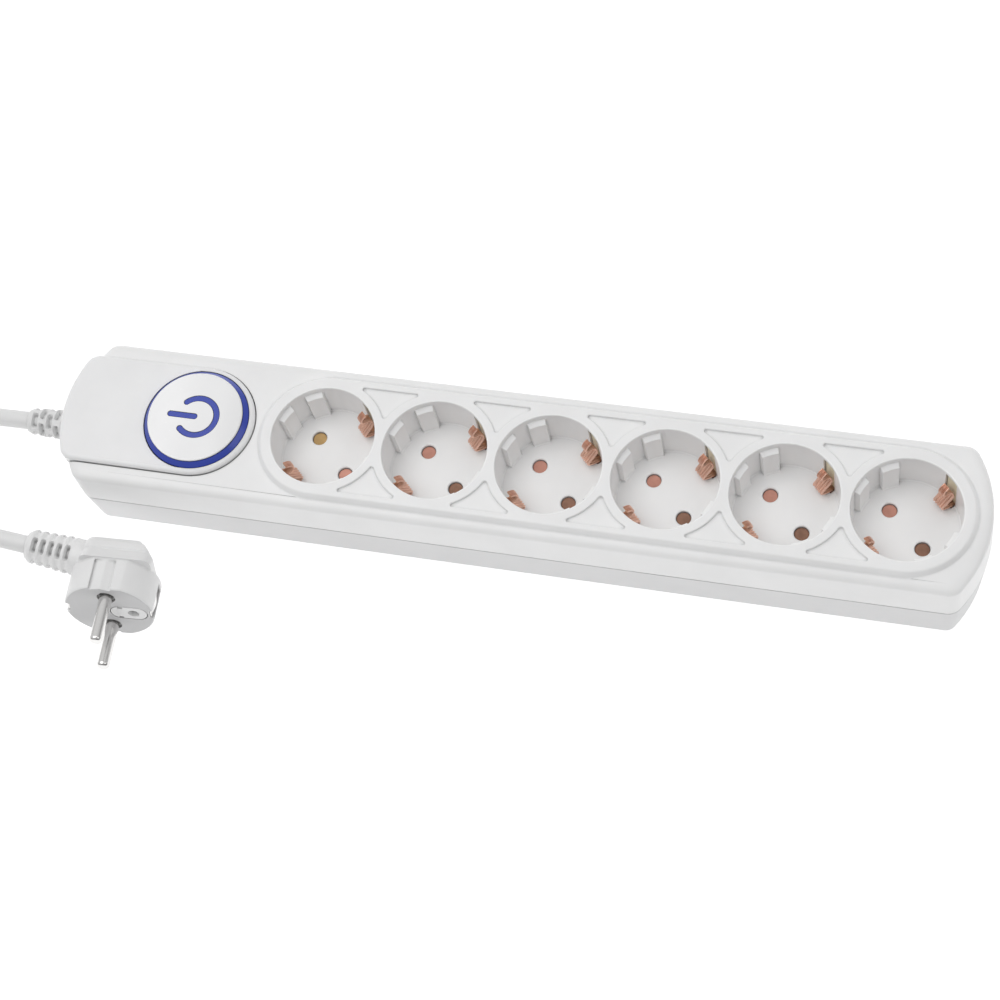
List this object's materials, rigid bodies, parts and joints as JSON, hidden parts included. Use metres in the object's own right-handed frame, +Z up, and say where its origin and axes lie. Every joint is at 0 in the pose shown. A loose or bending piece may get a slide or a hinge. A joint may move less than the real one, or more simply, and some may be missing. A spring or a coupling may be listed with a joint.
{
  "type": "power strip",
  "caption": "Long white power strip with round recessed sockets, a lit push switch and a mains cord, coiled for storage, that ends in an angled earthed plug.",
  "frame": {"origin": "middle of the strip's footprint, its gland included, on the surface that it stands on", "axes": "+X along the strip from the cord end to the far end, +Y across it, +Z up out of the sockets"},
  "size_m": [0.517, 0.1264, 0.0426],
  "materials": {
    "white_plastic": "smooth moulded, soft gloss",
    "cord_plastic": "soft moulded vinyl, satin",
    "blue_lens": "tinted, glossy",
    "grey_plastic": "moulded, matte",
    "copper": "pressed copper alloy, satin",
    "steel": "zinc plated",
    "nickel": "nickel plated, polished",
    "brown_wire": "wire insulation",
    "blue_wire": "wire insulation",
    "green_wire": "wire insulation, green and yellow",
    "amber_lamp": "glow lamp"
  },
  "bodies": {
    "housing": {"bottom_cover": "white_plastic", "clamp_screw_1": "steel", "clamp_screw_2": "steel", "cord_clamp": "grey_plastic", "cord_coil": "cord_plastic", "cord_gland": "cord_plastic", "cord_lead": "cord_plastic", "cord_tail": "cord_plastic", "cover_screw_1": "steel", "cover_screw_2": "steel", "cover_screw_3": "steel", "cover_screw_4": "steel", "cover_screw_5": "steel", "cover_screw_6": "steel", "earth_bracket_1": "copper", "earth_bracket_2": "copper", "earth_bracket_3": "copper", "earth_bracket_4": "copper", "earth_bracket_5": "copper", "earth_bracket_6": "copper", "earth_rail": "copper", "indicator_lamp": "amber_lamp", "inner_sheath": "cord_plastic", "live_rail": "copper", "neutral_rail": "copper", "plug_body": "cord_plastic", "plug_earth_socket": "cord_plastic", "plug_earth_strip_1": "nickel", "plug_earth_strip_2": "nickel", "plug_pin_1": "nickel", "plug_pin_2": "nickel", "return_spring": "steel", "switch_housing": "grey_plastic", "switch_panel": "white_plastic", "switch_screw_1": "steel", "switch_screw_2": "steel", "terminal_live_in": "copper", "terminal_live_out": "copper", "terminal_neutral_in": "copper", "terminal_neutral_out": "copper", "top_cover": "white_plastic", "wire_earth": "green_wire", "wire_live_in": "brown_wire", "wire_live_out": "brown_wire", "wire_neutral_in": "blue_wire", "wire_neutral_out": "blue_wire"},
    "button": {"button_lens": "blue_lens", "button_cap": "white_plastic", "switch_plunger": "grey_plastic", "contact_bridge_live": "copper", "contact_bridge_neutral": "copper"},
    "latch": {"latch_pin": "steel"}
  },
  "joints": [
    {"name": "button_press", "type": "slide", "parent": "housing", "child": "button", "axis": [0, 0, -1], "range_m": [0, 0.003], "stiffness_N_per_m": 1200, "springref_m": -0.001, "deforming": ["return_spring"]},
    {"name": "latch_swing", "type": "hinge", "parent": "housing", "child": "latch", "pos_m": [-0.10535, 0, 0.026], "axis": [1, 0, 0], "range_deg": [0, 8]}
  ],
  "couplings": [
    {"joint": "latch_swing", "follows": "button_press", "rad_per_m": 46.5}
  ]
}
